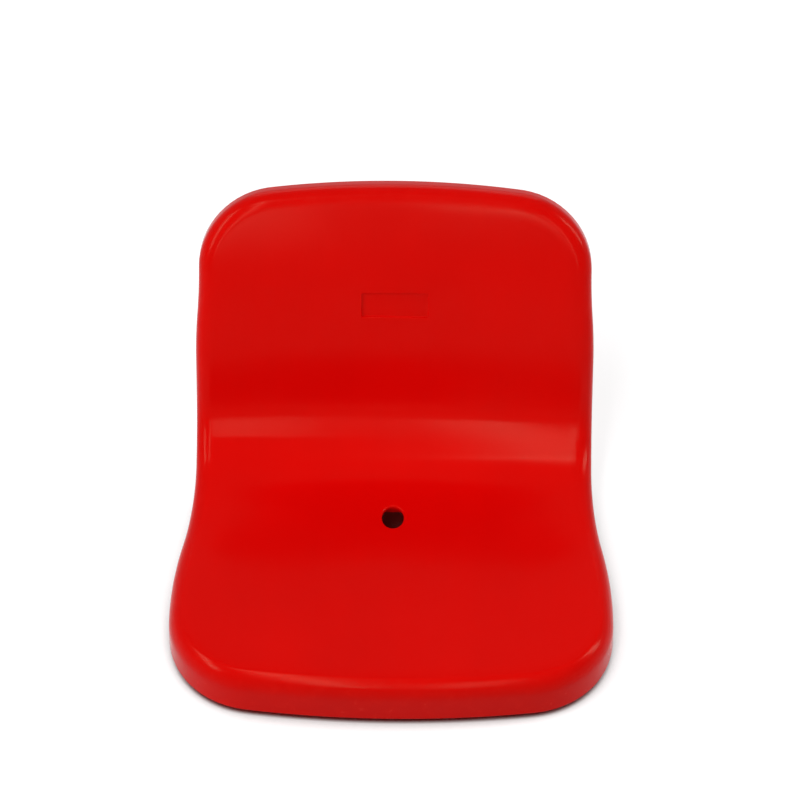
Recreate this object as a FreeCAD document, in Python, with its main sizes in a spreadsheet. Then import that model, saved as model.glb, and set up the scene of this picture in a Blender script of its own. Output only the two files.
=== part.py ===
import FreeCAD, Part
import math
import os
import Sketcher

# One-piece moulded stadium seat on two bent steel bars.
# Millimetres. X runs to the right as seen from the front, Y from the front lip towards the back,
# Z up. The origin is the middle of the four deck bolts, on the deck that the bars stand on.

SIZES = [
    # Shell, seen from above and along its centre line
    ("seat_width", 430.0, "width across the front corners"),
    ("waist_width", 390.0, "width where the pan turns up into the back"),
    ("back_width", 382.0, "width of the back under its top corners"),
    ("pan_run", 229.0, "straight length of the pan along the centre line"),
    ("bend_run", 146.0, "length along the centre line over which the pan turns up"),
    ("back_run", 204.0, "length of the back along the centre line"),
    ("pan_fall", 2.2, "degrees that the pan falls towards the back"),
    ("back_lean", 16.0, "degrees that the back leans from upright at its foot"),
    ("back_curl", 11.0, "degrees more that it leans at its top"),
    ("curl_lead", 20.0, "length before the end of the bend where the extra lean starts"),
    ("front_bow", 22.0, "rise of the bowed front edge"),
    ("top_crown", 14.5, "rise of the crowned top edge"),
    ("front_corner", 88.0, "radius of the front corners seen from above"),
    ("top_corner", 77.0, "radius of the top corners seen from the front"),
    ("back_hollow", 14.7, "depth of the back's hollow at the width hollow_half"),
    ("hollow_half", 200.0, "distance from the centre line where back_hollow is measured"),
    ("hollow_lead", 60.0, "length before the bend where the hollow starts"),
    ("waist_lead", 60.0, "length before the end of the bend where the waist is narrowest"),
    ("seat_settle", 28.0, "length before the waist where the seat's sides are already straight"),
    ("back_settle", 80.0, "length after the waist where the back's sides are still straight"),
    ("seat_reach", 170.0, "front edge of the shell ahead of the middle of the deck bolts"),
    ("deck_gap", 7.0, "height of the front lip's lower edge above the deck"),
    # Shell wall and rim
    ("wall", 4.0, "wall thickness"),
    ("front_roll", 13.0, "radius of the rolled front edge"),
    ("back_roll", 16.0, "radius of the rolled side and top edges"),
    ("front_lip", 48.0, "depth of the rim at the front"),
    ("back_lip", 26.0, "depth of the rim at the sides and top"),
    ("lip_run", 220.0, "length from the front over which roll and rim change"),
    # Ribs under the shell, drain hole and number recess
    ("rib_thick", 2.5, "thickness of a rib"),
    ("cross_drop", 5.5, "height of a cross rib below the wall"),
    ("long_drop", 7.0, "height of a long rib below the wall"),
    ("rib_pitch", 60.0, "spacing of the cross ribs along the centre line"),
    ("rib_spread", 80.0, "distance between the two inner long ribs"),
    ("drain_width", 21.5, "drain hole across the seat"),
    ("drain_length", 28.5, "drain hole along the seat"),
    ("drain_place", 217.0, "middle of the drain hole along the centre line"),
    ("recess_width", 65.0, "number recess across the back"),
    ("recess_height", 26.0, "number recess up the back"),
    ("recess_depth", 2.0, "depth of the number recess"),
    ("recess_place", 457.0, "middle of the number recess along the centre line"),
    ("recess_border", 4.0, "thickened wall round the number recess"),
    # Bosses and threaded inserts
    ("boss_spread", 240.0, "distance across between the bosses"),
    ("boss_pitch", 130.0, "distance from front boss to rear boss"),
    ("boss_round", 26.0, "outer diameter of a boss"),
    ("insert_round", 12.0, "outer diameter of a threaded insert"),
    ("insert_length", 13.0, "length of a threaded insert"),
    ("insert_neck", 10.6, "diameter at the insert's groove"),
    ("insert_groove", 3.0, "length of the insert's groove"),
    ("fit_gap", 0.1, "clearance round an insert, and round a bolt in its thread"),
    # Bars
    ("bar_width", 40.0, "width of the flat bar"),
    ("bar_thick", 5.0, "thickness of the flat bar"),
    ("bar_height", 22.0, "top of the bar's bridge above the deck"),
    ("bend_inner", 4.0, "inner radius of the bar's bends"),
    ("deck_pitch", 230.0, "distance from front to rear deck bolt"),
    ("foot_half", 20.0, "from a deck bolt to the end of its foot and to the upright"),
    ("seat_hole", 9.0, "hole in the bridge for a seat bolt"),
    ("deck_hole", 11.0, "hole in a foot for a deck bolt"),
    ("foot_corner", 6.0, "corner radius of a foot seen from above"),
    # Seat bolts and washers
    ("bolt_round", 8.0, "diameter of a seat bolt"),
    ("bolt_length", 20.0, "length of a seat bolt under its head"),
    ("bolt_flats", 13.0, "width across the flats of its head"),
    ("bolt_head", 5.3, "height of its head"),
    ("washer_round", 16.0, "diameter of a flat washer"),
    ("washer_hole", 8.4, "hole in a flat washer"),
    ("washer_thick", 1.6, "thickness of a flat washer"),
    ("spring_round", 14.4, "diameter of a spring washer"),
    ("spring_hole", 8.3, "hole in a spring washer"),
    ("spring_thick", 2.0, "thickness of a spring washer"),
    ("spring_slit", 1.0, "width of the slit in a spring washer"),
    # Welded nuts on the feet
    ("nut_flats", 16.0, "width across the flats of a welded nut"),
    ("nut_height", 8.0, "height of a welded nut"),
    ("nut_bore", 8.5, "thread bore of a welded nut"),
]

doc = FreeCAD.newDocument("StadiumSeat")
sheet = doc.addObject("Spreadsheet::Sheet", "Sizes")
for row, (name, value, note) in enumerate(SIZES, start=1):
    sheet.set("A%d" % row, name)
    sheet.set("B%d" % row, str(value))
    sheet.set("C%d" % row, note)
    sheet.setAlias("B%d" % row, name)
doc.recompute()


def cell(name):
    return float(sheet.get(name))


def add(kind, name):
    return doc.addObject(kind, name)


def bind(thing, **sizes):
    """Tie properties to the sheet: each keyword is a property, each value an expression."""
    for key, text in sizes.items():
        thing.setExpression(key.replace("__", "."), text)


# Centre line of the shell
# The slope angle follows a smooth step from the pan to the back, so the profile has no kinks.

MARGIN = 40.0  # the line runs on past both ends of the shell
STEP = 0.5
pan_run = cell("pan_run")
bend_run = cell("bend_run")
path_length = pan_run + bend_run + cell("back_run")
pan_fall = cell("pan_fall")
back_lean = cell("back_lean")
back_curl = cell("back_curl")
curl_start = pan_run + bend_run - cell("curl_lead")


def ease(part):
    part = min(1.0, max(0.0, part))
    return part ** 3 * (10 - 15 * part + 6 * part * part)


def slope(place):
    """Angle of the seat surface above level, in radians, at a distance along the centre line."""
    turn = 90 - back_lean + pan_fall
    angle = -pan_fall + turn * ease((place - pan_run) / bend_run)
    angle -= back_curl * ease((place - curl_start) / (path_length - curl_start))
    return math.radians(angle)


def trace():
    """Walk along the slope in small steps and return the points (y, z) of the centre line."""
    points = [(0.0, 0.0)]
    count = int((path_length + 2 * MARGIN) / STEP)
    for index in range(count):
        angle = slope(-MARGIN + (index + 0.5) * STEP)
        y, z = points[-1]
        points.append((y + math.cos(angle) * STEP, z + math.sin(angle) * STEP))
    return points


traced = trace()
start_y, start_z = traced[int(MARGIN / STEP)]
pan_height = cell("deck_gap") + cell("front_lip")


def centre(place):
    """Point of the upper surface on the centre line."""
    steps = (place + MARGIN) / STEP
    index = min(int(steps), len(traced) - 2)
    share = steps - index
    y = traced[index][0] * (1 - share) + traced[index + 1][0] * share
    z = traced[index][1] * (1 - share) + traced[index + 1][1] * share
    return FreeCAD.Vector(0, y - start_y - cell("seat_reach"), z - start_z + pan_height)


def along(place):
    return FreeCAD.Vector(0, math.cos(slope(place)), math.sin(slope(place)))


def outward(place):
    """Direction out of the upper surface, towards the sitter."""
    return FreeCAD.Vector(0, -math.sin(slope(place)), math.cos(slope(place)))


def rim(front, back, place):
    """Roll radius or rim depth, which changes from front to back along the sides."""
    return front + (back - front) * ease(place / cell("lip_run"))


def surface_frame(place, sideways=1.0):
    """Placement on the centre line: local X across, local Y along it, local Z outward."""
    across = FreeCAD.Vector(sideways, 0, 0)
    ahead = along(place) * sideways
    return frame_at(centre(place), across, ahead)


def frame_at(origin, across, ahead):
    up = across.cross(ahead)
    return FreeCAD.Placement(FreeCAD.Matrix(
        across.x, ahead.x, up.x, origin.x,
        across.y, ahead.y, up.y, origin.y,
        across.z, ahead.z, up.z, origin.z,
        0, 0, 0, 1))


# Slab: a wide plate whose top is the seat surface, cut to its outline afterwards

STATIONS = 30
SPARE_WIDTH = 20.0
SPARE_END = 8.0


def hollow_at(place, x):
    """How far the surface stands up beside the centre line, because the back is hollow."""
    grown = ease((place - pan_run + cell("hollow_lead")) / bend_run)
    return cell("back_hollow") * grown * (x / cell("hollow_half")) ** 2


def surface_point(place, x, level):
    """Point at a height over the surface; level is negative under it."""
    lift = outward(place) * (level + hollow_at(place, x))
    return centre(place) + lift + FreeCAD.Vector(x, 0, 0)


def bowed_edge(place, half, level):
    """Curve across the seat: a parabola, which takes three poles."""
    dip = centre(place) + outward(place) * (level - hollow_at(place, half))
    curve = Part.BezierCurve()
    curve.setPoles([surface_point(place, -half, level), dip, surface_point(place, half, level)])
    return curve.toShape()


def across_wire(place, half, high, low):
    """Closed wire across the seat, between two heights over the surface."""
    right = Part.makeLine(surface_point(place, half, high), surface_point(place, half, low))
    left = Part.makeLine(surface_point(place, -half, low), surface_point(place, -half, high))
    edges = [bowed_edge(place, half, high), right, bowed_edge(place, half, low), left]
    return Part.Wire(Part.__sortEdges__(edges))


def slab(drop, depth):
    """Loft through sections across the seat; depth(place) is its lower face under the surface."""
    half = cell("seat_width") / 2 + SPARE_WIDTH
    reach = MARGIN - SPARE_END
    sections = []
    for index in range(STATIONS + 1):
        place = -reach + (path_length + 2 * reach) * index / STATIONS
        sections.append(across_wire(place, half, -drop, -depth(place)))
    return Part.makeLoft(sections, True, False)


# Outline: a bowed end, round corners, and sides that ease into the waist


def arc(middle, radius, first, last):
    def point(angle):
        x = middle[0] + radius * math.cos(angle)
        y = middle[1] + radius * math.sin(angle)
        return FreeCAD.Vector(x, y, 0)
    return Part.Arc(point(first), point((first + last) / 2), point(last)).toShape()


def outline(width, waist, bow, corner, waist_at, far, inset):
    """Face in local X and Y with its bowed end at Y = 0, drawn in by inset all round."""
    half = width / 2
    narrow = waist / 2
    bow_radius = half * half / (2 * bow)
    corner_x = half - corner
    corner_y = bow_radius - math.sqrt((bow_radius - corner) ** 2 - corner_x ** 2)
    meet = math.atan2(corner_y - bow_radius, corner_x)
    edges = [arc((0, bow_radius), bow_radius - inset, -math.pi / 2, meet)]
    edges.append(arc((corner_x, corner_y), corner - inset, meet, 0.0))
    # the side steps over to the waist in two equal arcs
    shift = half - narrow
    run = waist_at - corner_y
    side_radius = (run * run + shift * shift) / (4 * abs(shift))
    swing = math.asin(run / 2 / side_radius)
    if shift > 0:
        near = arc((half - side_radius, corner_y), side_radius - inset, 0, swing)
        later = arc((narrow + side_radius, waist_at), side_radius + inset, math.pi + swing, math.pi)
    else:
        near = arc((half + side_radius, corner_y), side_radius + inset, math.pi, math.pi - swing)
        later = arc((narrow - side_radius, waist_at), side_radius - inset, -swing, 0)
    edges += [near, later]
    edge_x = narrow - inset
    edges.append(Part.makeLine(FreeCAD.Vector(edge_x, waist_at, 0), FreeCAD.Vector(edge_x, far, 0)))
    mirrored = [edge.mirror(FreeCAD.Vector(0, 0, 0), FreeCAD.Vector(1, 0, 0)) for edge in edges]
    closing = Part.makeLine(FreeCAD.Vector(edge_x, far, 0), FreeCAD.Vector(-edge_x, far, 0))
    return Part.Face(Part.Wire(Part.__sortEdges__(edges + mirrored + [closing])))


BLOCK = 900.0  # box that cuts one outline off at the split
SEAT_TALL = 200.0  # the raised outlines reach this far either side of the surface
BACK_TALL = 250.0
PAST_SPLIT = 150.0  # and this far past the split before they are cut off
OVERLAP = 1.0  # so that the two halves join in one solid


def outline_block(inset):
    """The seat's outline raised square to the pan, joined in the bend to the back's outline."""
    split = pan_run + bend_run - cell("waist_lead")
    seat_reach = (centre(split) - centre(0)).dot(along(0))
    seat_face = outline(
        cell("seat_width"), cell("waist_width"), cell("front_bow"), cell("front_corner"),
        seat_reach - cell("seat_settle"), seat_reach + PAST_SPLIT, inset)
    seat = seat_face.extrude(FreeCAD.Vector(0, 0, 2 * SEAT_TALL))
    seat.translate(FreeCAD.Vector(0, 0, -SEAT_TALL))
    seat.Placement = surface_frame(0).multiply(seat.Placement)

    top = centre(path_length)
    back_reach = (top - centre(split)).dot(along(path_length))
    back_face = outline(
        cell("back_width"), cell("waist_width"), cell("top_crown"), cell("top_corner"),
        back_reach - cell("back_settle"), back_reach + PAST_SPLIT, inset)
    back = back_face.extrude(FreeCAD.Vector(0, 0, 2 * BACK_TALL))
    back.translate(FreeCAD.Vector(0, 0, -BACK_TALL))
    back.Placement = surface_frame(path_length, -1.0).multiply(back.Placement)

    before = Part.makeBox(BLOCK, BLOCK, BLOCK)
    before.translate(FreeCAD.Vector(-BLOCK / 2, -BLOCK, -BLOCK / 2))
    before.Placement = surface_frame(split).multiply(before.Placement)
    seat = seat.common(before)
    before.translate(along(split) * -OVERLAP)
    return seat.fuse(back.cut(before)).removeSplitter()


ROLL_STEP = 2.0


def form(name, inset, depth):
    """Solid under the seat surface, drawn in by inset, with its upper edge rolled over."""
    base = add("Part::Feature", name + "_square")
    solid = slab(inset, depth).common(outline_block(inset))
    base.Shape = solid.Solids[0]
    rolled = add("Part::Fillet", name)
    rolled.Base = base
    probe = Part.Vertex(centre(pan_run / 2) - outward(0) * inset)
    upper = min(base.Shape.Faces, key=lambda face: face.distToShape(probe)[0])
    places = [index * ROLL_STEP for index in range(int(path_length / ROLL_STEP))]

    def roll_at(point):
        flat = FreeCAD.Vector(0, point.y, point.z)
        place = min(places, key=lambda here: (centre(here) - flat).Length)
        return rim(cell("front_roll"), cell("back_roll"), place) - inset

    rolls = []
    for number, edge in enumerate(base.Shape.Edges, start=1):
        if any(edge.isSame(other) for other in upper.Edges):
            first = edge.valueAt(edge.FirstParameter)
            last = edge.valueAt(edge.LastParameter)
            rolls.append((number, roll_at(first), roll_at(last)))
    rolled.Edges = rolls
    return rolled


def rim_depth(place):
    return rim(cell("front_lip"), cell("back_lip"), place)


def joined(name, things):
    fuse = add("Part::MultiFuse", name)
    fuse.Shapes = things
    return fuse


def shared(name, first, second):
    both = add("Part::Common", name)
    both.Base = first
    both.Tool = second
    return both


def cut(name, base, tool):
    rest = add("Part::Cut", name)
    rest.Base = base
    rest.Tool = tool
    return rest


# Shell skin, and the spaces that its ribs and bosses may fill

DEEP = 60.0
outer = form("outer_form", 0.0, rim_depth)
hollow = form("hollow_form", cell("wall"), lambda place: rim_depth(place) + DEEP)
skin = cut("skin", outer, hollow)
rooted = cell("wall") / 2
boss_space = form("boss_space", rooted, lambda place: rim_depth(place) + DEEP)


# Ribs: thin walls under the shell that end where the rolled rim begins

ROOT_OF_CROSS = 0.4  # share of the wall that a rib's root reaches into
ROOT_OF_LONG = 0.6


def rib(name, wire, thickness):
    wall = add("Part::Feature", name)
    solid = Part.Face(wire).extrude(thickness)
    solid.translate(thickness * -0.5)
    wall.Shape = solid
    return wall


def half_inside(place):
    """Half width of the shell inside its rolled rim."""
    half = min(cell("seat_width"), cell("waist_width"), cell("back_width")) / 2
    ends = (
        (cell("seat_width"), cell("front_corner"), place - cell("front_bow")),
        (cell("back_width"), cell("top_corner"), path_length - cell("top_crown") - place),
    )
    for width, corner, left in ends:
        if left < corner:
            chord = math.sqrt(max(0.0, corner ** 2 - (corner - left) ** 2))
            half = min(half, width / 2 - corner + chord)
    return half - cell("front_roll")


def cross_rib(name, place):
    root = -ROOT_OF_CROSS * cell("wall")
    wire = across_wire(place, half_inside(place), root, -cell("wall") - cell("cross_drop"))
    return rib(name, wire, along(place) * cell("rib_thick"))


def long_rib(name, x):
    first = cell("front_roll") + cell("front_bow")
    last = path_length - cell("front_roll") - cell("top_crown")
    curves = []
    for level in (-ROOT_OF_LONG * cell("wall"), -cell("wall") - cell("long_drop")):
        places = [first + (last - first) * index / STATIONS for index in range(STATIONS + 1)]
        curve = Part.BSplineCurve()
        curve.interpolate([surface_point(place, x, level) for place in places])
        curves.append(curve)
    root, foot = curves
    front_end = Part.makeLine(root.StartPoint, foot.StartPoint)
    rear_end = Part.makeLine(root.EndPoint, foot.EndPoint)
    wire = Part.Wire(Part.__sortEdges__([root.toShape(), foot.toShape(), front_end, rear_end]))
    return rib(name, wire, FreeCAD.Vector(cell("rib_thick"), 0, 0))


ribs = []
for x in (cell("rib_spread") / 2, cell("boss_spread") / 2):
    ribs.append(long_rib("long_rib_right_%d" % x, x))
    ribs.append(long_rib("long_rib_left_%d" % x, -x))
drain_rib_place = cell("drain_place") + cell("drain_length") / 2 + cell("rib_thick") / 2
ahead = int((drain_rib_place - 2 * cell("front_roll")) / cell("rib_pitch"))
behind = int((path_length - 2 * cell("front_roll") - drain_rib_place) / cell("rib_pitch"))
for count in range(-ahead, behind + 1):
    name = "cross_rib_%d" % (ahead + count + 1)
    ribs.append(cross_rib(name, drain_rib_place + count * cell("rib_pitch")))

# Bosses: posts that stand on the bars and run through the wall, cut off inside it

POST_HEIGHT = "4 * Sizes.front_lip"
corners = [(x, y) for x in (-1, 1) for y in (-1, 1)]
bosses = []
bores = []
for number, (side, end) in enumerate(corners, start=1):
    spot_x = "%d * Sizes.boss_spread / 2" % side
    spot_y = "%d * Sizes.boss_pitch / 2" % end
    boss = add("Part::Cylinder", "boss_%d" % number)
    bind(boss, Radius="Sizes.boss_round / 2", Height=POST_HEIGHT, Placement__Base__x=spot_x,
         Placement__Base__y=spot_y, Placement__Base__z="Sizes.bar_height")
    bosses.append(boss)
    bore = add("Part::Cylinder", "insert_bore_%d" % number)
    bind(bore, Radius="Sizes.insert_round / 2 + Sizes.fit_gap",
         Height="Sizes.insert_length + Sizes.fit_gap", Placement__Base__x=spot_x,
         Placement__Base__y=spot_y, Placement__Base__z="Sizes.bar_height")
    bores.append(bore)
boss_set = shared("boss_set", joined("boss_posts", bosses), boss_space)

# Number recess with its thickened wall, and the drain hole

recess_spot = surface_frame(cell("recess_place"))


def recess_block(name, width, height, low, high):
    block = add("Part::Box", name)
    block.Length = width
    block.Width = height
    block.Height = high - low
    shift = FreeCAD.Vector(-width / 2, -height / 2, low)
    block.Placement = recess_spot.multiply(FreeCAD.Placement(shift, FreeCAD.Rotation()))
    return block


border = 2 * cell("recess_border")
backing = recess_block(
    "recess_backing", cell("recess_width") + border, cell("recess_height") + border,
    -cell("wall") - cell("recess_depth"), -cell("wall") / 2)
recess = recess_block(
    "number_recess", cell("recess_width"), cell("recess_height"), -cell("recess_depth"), DEEP / 2)

drain = add("Part::Feature", "drain_hole")
oval = Part.Ellipse(FreeCAD.Vector(0, 0, 0), cell("drain_length") / 2, cell("drain_width") / 2)
oval_face = Part.Face(Part.Wire([oval.toShape()]))
oval_solid = oval_face.extrude(FreeCAD.Vector(0, 0, DEEP))
oval_solid.rotate(FreeCAD.Vector(0, 0, 0), FreeCAD.Vector(0, 0, 1), 90)
oval_solid.translate(FreeCAD.Vector(0, 0, -DEEP / 2))
oval_solid.Placement = surface_frame(cell("drain_place")).multiply(oval_solid.Placement)
drain.Shape = oval_solid

body = joined("shell_solid", [skin, boss_set, backing] + ribs)
openings = joined("shell_openings", [drain, recess] + bores)
shell = cut("seat_shell", body, openings)


# Solid features drawn in sketches whose points are expressions of the sizes


def body(name):
    return add("PartDesign::Body", name)


def sketch_on(owner, name, role="XY_Plane"):
    plane = next(part for part in owner.Origin.OriginFeatures if part.Role == role)
    drawn = owner.newObject("Sketcher::SketchObject", name)
    drawn.AttachmentSupport = (plane, "")
    drawn.MapMode = "FlatFace"
    return drawn


def pin(drawn, geometry, vertex, x_text, y_text):
    """Fix a point of the sketch at two expressions, measured from its origin."""
    for kind, text in (("DistanceX", x_text), ("DistanceY", y_text)):
        value = float(drawn.evalExpression(text))
        number = drawn.addConstraint(Sketcher.Constraint(kind, -1, 1, geometry, vertex, value))
        drawn.setExpression("Constraints[%d]" % number, text)


def draw_polygon(drawn, points):
    spots = [[float(drawn.evalExpression(text)) for text in pair] for pair in points]
    first = drawn.GeometryCount
    count = len(points)
    for index in range(count):
        start = FreeCAD.Vector(*spots[index], 0)
        stop = FreeCAD.Vector(*spots[(index + 1) % count], 0)
        drawn.addGeometry(Part.LineSegment(start, stop))
    for index in range(count):
        following = first + (index + 1) % count
        drawn.addConstraint(Sketcher.Constraint("Coincident", first + index, 2, following, 1))
    for index in range(count):
        pin(drawn, first + index, 1, *points[index])


def draw_circle(drawn, x_text, y_text, diameter_text):
    x, y, across = [float(drawn.evalExpression(text)) for text in (x_text, y_text, diameter_text)]
    circle = Part.Circle(FreeCAD.Vector(x, y, 0), FreeCAD.Vector(0, 0, 1), across / 2)
    number = drawn.addGeometry(circle)
    pin(drawn, number, 3, x_text, y_text)
    size = drawn.addConstraint(Sketcher.Constraint("Diameter", number, across))
    drawn.setExpression("Constraints[%d]" % size, diameter_text)


def draw_hexagon(drawn, flats_text):
    reach = flats_text + " / sqrt(3)"
    points = []
    for angle in range(0, 360, 60):
        points.append(("%s * cos(%d)" % (reach, angle), "%s * sin(%d)" % (reach, angle)))
    draw_polygon(drawn, points)


def pad(owner, name, drawn, length_text, side="One side", turned=False):
    raised = owner.newObject("PartDesign::Pad", name)
    raised.Profile = drawn
    raised.SideType = side
    raised.Reversed = turned
    bind(raised, Length=length_text)
    return raised


def pocket_through(owner, name, drawn):
    """Cut right through, both ways from the sketch, and make sure that something was cut."""
    before = owner.Shape.Volume
    sunk = owner.newObject("PartDesign::Pocket", name)
    sunk.Profile = drawn
    sunk.Type = "ThroughAll"
    sunk.SideType = "Symmetric"
    doc.recompute()
    if owner.Shape.Volume >= before:
        raise ValueError(name + " cut nothing")
    return sunk


def round_edges(owner, name, base, wanted, radius_text):
    """Fillet the edges of base that the test wanted(edge) picks."""
    edges = base.Shape.Edges
    picked = ["Edge%d" % number for number, edge in enumerate(edges, start=1) if wanted(edge)]
    rounded = owner.newObject("PartDesign::Fillet", name)
    rounded.Base = (base, picked)
    bind(rounded, Radius=radius_text)
    doc.recompute()
    return rounded


# Bars: a flat bar bent into a low bridge with a foot at each end

FOOT_END = "(Sizes.deck_pitch / 2 + Sizes.foot_half)"
UPRIGHT = "(Sizes.deck_pitch / 2 - Sizes.foot_half)"
UPRIGHT_INSIDE = "(" + UPRIGHT + " - Sizes.bar_thick)"
BRIDGE_UNDER = "Sizes.bar_height - Sizes.bar_thick"
NEAR = 0.01  # points closer than this are the same point


def bar(name, side):
    piece = body(name)
    profile = sketch_on(piece, name + "_profile", "YZ_Plane")
    rear = [
        (UPRIGHT, "Sizes.bar_height"),
        (UPRIGHT, "Sizes.bar_thick"),
        (FOOT_END, "Sizes.bar_thick"),
        (FOOT_END, "0"),
        (UPRIGHT_INSIDE, "0"),
        (UPRIGHT_INSIDE, BRIDGE_UNDER),
    ]
    front = [("-" + y, z) for y, z in reversed(rear)]
    draw_polygon(profile, rear + front)
    strip = pad(piece, name + "_strip", profile, "Sizes.bar_width", "Symmetric")
    doc.recompute()

    upright = cell("deck_pitch") / 2 - cell("foot_half")
    inside = upright - cell("bar_thick")
    top = cell("bar_height")
    under = top - cell("bar_thick")

    def bend_at(*spots):
        def wanted(edge):
            ends = [vertex.Point for vertex in edge.Vertexes]
            across = abs(ends[0].x - ends[-1].x) > cell("bar_width") - NEAR
            here = FreeCAD.Vector(0, abs(ends[0].y), ends[0].z)
            return across and any((here - FreeCAD.Vector(0, y, z)).Length < NEAR for y, z in spots)
        return wanted

    outside_bends = bend_at((upright, top), (inside, 0.0))
    inner = round_edges(piece, name + "_inner_bends", strip,
                        bend_at((inside, under), (upright, cell("bar_thick"))), "Sizes.bend_inner")
    outer_bends = round_edges(piece, name + "_outer_bends", inner, outside_bends,
                              "Sizes.bend_inner + Sizes.bar_thick")
    foot_end = cell("deck_pitch") / 2 + cell("foot_half")

    def foot_corner(edge):
        ends = [vertex.Point for vertex in edge.Vertexes]
        upright_edge = abs(ends[0].z - ends[-1].z) > cell("bar_thick") - NEAR
        return upright_edge and all(abs(abs(end.y) - foot_end) < NEAR for end in ends)

    round_edges(piece, name + "_foot_corners", outer_bends, foot_corner, "Sizes.foot_corner")
    holes = sketch_on(piece, name + "_holes")
    for end in (-1, 1):
        draw_circle(holes, "0", "%d * Sizes.boss_pitch / 2" % end, "Sizes.seat_hole")
        draw_circle(holes, "0", "%d * Sizes.deck_pitch / 2" % end, "Sizes.deck_hole")
    pocket_through(piece, name + "_drilled", holes)
    bind(piece, Placement__Base__x="%d * Sizes.boss_spread / 2" % side)
    return piece


left_bar = bar("left_bar", -1)
right_bar = bar("right_bar", 1)

# Fasteners, each drawn once at its own origin


def ring(name, outer_text, hole_text, thick_text):
    piece = body(name)
    drawn = sketch_on(piece, name + "_rings")
    draw_circle(drawn, "0", "0", outer_text)
    draw_circle(drawn, "0", "0", hole_text)
    pad(piece, name + "_pad", drawn, thick_text)
    return piece


flat_washer = ring("flat_washer", "Sizes.washer_round", "Sizes.washer_hole", "Sizes.washer_thick")
spring_washer = ring("spring_washer", "Sizes.spring_round", "Sizes.spring_hole", "Sizes.spring_thick")
doc.recompute()
slit = sketch_on(spring_washer, "spring_slit_outline")
draw_polygon(slit, [
    ("0", "-Sizes.spring_slit / 2"),
    ("Sizes.spring_round", "-Sizes.spring_slit / 2"),
    ("Sizes.spring_round", "Sizes.spring_slit / 2"),
    ("0", "Sizes.spring_slit / 2"),
])
pocket_through(spring_washer, "spring_slit_cut", slit)

seat_bolt = body("seat_bolt")
shank = sketch_on(seat_bolt, "bolt_shank_outline")
draw_circle(shank, "0", "0", "Sizes.bolt_round")
pad(seat_bolt, "bolt_shank", shank, "Sizes.bolt_length")
hexagon = sketch_on(seat_bolt, "bolt_head_outline")
draw_hexagon(hexagon, "Sizes.bolt_flats")
pad(seat_bolt, "bolt_head", hexagon, "Sizes.bolt_head", turned=True)

weld_nut = body("weld_nut")
nut_outline = sketch_on(weld_nut, "nut_outline")
draw_hexagon(nut_outline, "Sizes.nut_flats")
draw_circle(nut_outline, "0", "0", "Sizes.nut_bore")
pad(weld_nut, "nut_block", nut_outline, "Sizes.nut_height")

thread_insert = body("thread_insert")
insert_half = sketch_on(thread_insert, "insert_half", "XZ_Plane")
BORE = "Sizes.bolt_round / 2 + Sizes.fit_gap"
RIM = "Sizes.insert_round / 2"
NECK = "Sizes.insert_neck / 2"
LAND = "(Sizes.insert_length - Sizes.insert_groove) / 2"
draw_polygon(insert_half, [
    (BORE, "0"),
    (RIM, "0"),
    (RIM, LAND),
    (NECK, LAND),
    (NECK, LAND + " + Sizes.insert_groove"),
    (RIM, LAND + " + Sizes.insert_groove"),
    (RIM, "Sizes.insert_length"),
    (BORE, "Sizes.insert_length"),
])
turned = thread_insert.newObject("PartDesign::Revolution", "insert_turned")
turned.Profile = insert_half
turned.ReferenceAxis = (insert_half, ["V_Axis"])
turned.Angle = 360
doc.recompute()


def four(name, piece, pitch_text, height_text):
    """One node with a copy of the piece at each corner of a bolt pattern."""
    copies = []
    for number, (side, end) in enumerate(corners, start=1):
        copy = add("App::Link", "%s_%d" % (name, number))
        copy.LinkedObject = piece
        bind(copy, Placement__Base__x="%d * Sizes.boss_spread / 2" % side,
             Placement__Base__y="%d * %s / 2" % (end, pitch_text), Placement__Base__z=height_text)
        copies.append(copy)
    group = add("Part::Compound", name)
    group.Links = copies
    return group


WASHER_LEVEL = BRIDGE_UNDER + " - Sizes.washer_thick"
SPRING_LEVEL = WASHER_LEVEL + " - Sizes.spring_thick"
thread_inserts = four("thread_inserts", thread_insert, "Sizes.boss_pitch", "Sizes.bar_height")
flat_washers = four("flat_washers", flat_washer, "Sizes.boss_pitch", WASHER_LEVEL)
spring_washers = four("spring_washers", spring_washer, "Sizes.boss_pitch", SPRING_LEVEL)
seat_bolts = four("seat_bolts", seat_bolt, "Sizes.boss_pitch", SPRING_LEVEL)
weld_nuts = four("weld_nuts", weld_nut, "Sizes.deck_pitch", "Sizes.bar_thick")

# Check and write

nodes = [shell, left_bar, right_bar, thread_inserts, flat_washers, spring_washers, seat_bolts, weld_nuts]
doc.recompute()
for thing in doc.Objects:
    if "Invalid" in thing.State or "Error" in thing.State:
        raise ValueError("%s did not build: %s" % (thing.Name, thing.State))
for node in nodes:
    if node.Shape.isNull() or not node.Shape.isValid():
        raise ValueError(node.Label + " has no valid shape")
os.makedirs("parts", exist_ok=True)
for node in nodes:
    node.Shape.exportStep("parts/%s.step" % node.Label)
    print(node.Label, len(node.Shape.Solids), "solids", round(node.Shape.Volume), "cubic mm")
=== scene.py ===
import math

import bpy
import numpy as np
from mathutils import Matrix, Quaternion, Vector


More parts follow.
